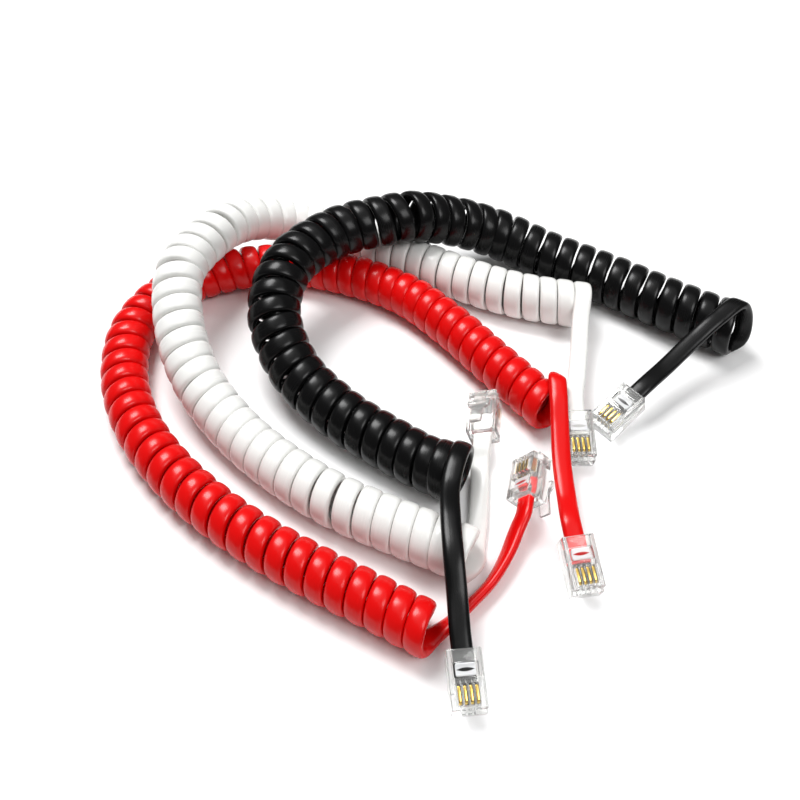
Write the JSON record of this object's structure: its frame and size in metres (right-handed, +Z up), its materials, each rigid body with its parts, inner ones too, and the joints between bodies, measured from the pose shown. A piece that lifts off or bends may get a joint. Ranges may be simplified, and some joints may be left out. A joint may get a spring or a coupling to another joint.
{
  "type": "coiled handset cord set",
  "caption": "Coiled flat telephone handset cords in red, white and black, lying in nested open loops, each with a clear modular plug with a spring latch at both ends.",
  "frame": {"origin": "middle of the set's outline, on the surface it lies on", "axes": "+Z up from the table; +X along the longest side of the outline, towards the black cord's back plug; +Y away from the open side of the loops, towards their bends"},
  "size_m": [0.1801, 0.1647, 0.0293],
  "materials": {
    "red_jacket": "glossy flexible PVC",
    "white_jacket": "glossy flexible PVC",
    "black_jacket": "glossy flexible PVC",
    "plug_housing": "clear polycarbonate",
    "strain_bar": "clear polycarbonate",
    "latch": "clear polycarbonate",
    "conductor_sleeves": "coloured insulation",
    "contact_plating": "gold plated"
  },
  "bodies": {
    "red_cord": {"red_coil": "red_jacket", "red_front_lead": "red_jacket", "red_front_plug_body": "plug_housing", "red_front_strain_bar": "strain_bar", "red_front_conductors": "conductor_sleeves", "red_front_contact_1": "contact_plating", "red_front_contact_2": "contact_plating", "red_front_contact_3": "contact_plating", "red_front_contact_4": "contact_plating", "red_back_lead": "red_jacket", "red_back_plug_body": "plug_housing", "red_back_strain_bar": "strain_bar", "red_back_conductors": "conductor_sleeves", "red_back_contact_1": "contact_plating", "red_back_contact_2": "contact_plating", "red_back_contact_3": "contact_plating", "red_back_contact_4": "contact_plating"},
    "white_cord": {"white_coil": "white_jacket", "white_front_lead": "white_jacket", "white_front_plug_body": "plug_housing", "white_front_strain_bar": "strain_bar", "white_front_conductors": "conductor_sleeves", "white_front_contact_1": "contact_plating", "white_front_contact_2": "contact_plating", "white_front_contact_3": "contact_plating", "white_front_contact_4": "contact_plating", "white_back_lead": "white_jacket", "white_back_plug_body": "plug_housing", "white_back_strain_bar": "strain_bar", "white_back_conductors": "conductor_sleeves", "white_back_contact_1": "contact_plating", "white_back_contact_2": "contact_plating", "white_back_contact_3": "contact_plating", "white_back_contact_4": "contact_plating"},
    "black_cord": {"black_coil": "black_jacket", "black_front_lead": "black_jacket", "black_front_plug_body": "plug_housing", "black_front_strain_bar": "strain_bar", "black_front_conductors": "conductor_sleeves", "black_front_contact_1": "contact_plating", "black_front_contact_2": "contact_plating", "black_front_contact_3": "contact_plating", "black_front_contact_4": "contact_plating", "black_back_lead": "black_jacket", "black_back_plug_body": "plug_housing", "black_back_strain_bar": "strain_bar", "black_back_conductors": "conductor_sleeves", "black_back_contact_1": "contact_plating", "black_back_contact_2": "contact_plating", "black_back_contact_3": "contact_plating", "black_back_contact_4": "contact_plating"},
    "red_front_latch": {"red_front_latch": "latch"},
    "red_back_latch": {"red_back_latch": "latch"},
    "white_front_latch": {"white_front_latch": "latch"},
    "white_back_latch": {"white_back_latch": "latch"},
    "black_front_latch": {"black_front_latch": "latch"},
    "black_back_latch": {"black_back_latch": "latch"}
  },
  "joints": [
    {"name": "white_lift_off", "type": "slide", "parent": "red_cord", "child": "white_cord", "axis": [0, 0, 1], "range_m": [0, 0.06]},
    {"name": "black_lift_off", "type": "slide", "parent": "white_cord", "child": "black_cord", "axis": [0, 0, 1], "range_m": [0, 0.06]},
    {"name": "red_front_latch_press", "type": "hinge", "parent": "red_cord", "child": "red_front_latch", "pos_m": [0.02959, -0.01841, 0.00347], "axis": [-0.6287, 0.1336, -0.766], "range_deg": [0, 10], "stiffness_Nm_per_rad": 0.02},
    {"name": "red_back_latch_press", "type": "hinge", "parent": "red_cord", "child": "red_back_latch", "pos_m": [0.03576, -0.05177, 0.00045], "axis": [0.9877, 0.1564, 0], "range_deg": [0, 10], "stiffness_Nm_per_rad": 0.02},
    {"name": "white_front_latch_press", "type": "hinge", "parent": "white_cord", "child": "white_front_latch", "pos_m": [0.01492, 0.00378, 0.00822], "axis": [0.9327, -0.1145, 0.342], "range_deg": [0, 10], "stiffness_Nm_per_rad": 0.02},
    {"name": "white_back_latch_press", "type": "hinge", "parent": "white_cord", "child": "white_back_latch", "pos_m": [0.03929, -0.0144, 0.00045], "axis": [0.9998, 0.0175, 0], "range_deg": [0, 10], "stiffness_Nm_per_rad": 0.02},
    {"name": "black_front_latch_press", "type": "hinge", "parent": "black_cord", "child": "black_front_latch", "pos_m": [0.00752, -0.07945, 0.00045], "axis": [0.9954, 0.0958, 0], "range_deg": [0, 10], "stiffness_Nm_per_rad": 0.02},
    {"name": "black_back_latch_press", "type": "hinge", "parent": "black_cord", "child": "black_back_latch", "pos_m": [0.04748, -0.00421, 0.00045], "axis": [0.6428, -0.766, 0], "range_deg": [0, 10], "stiffness_Nm_per_rad": 0.02}
  ]
}
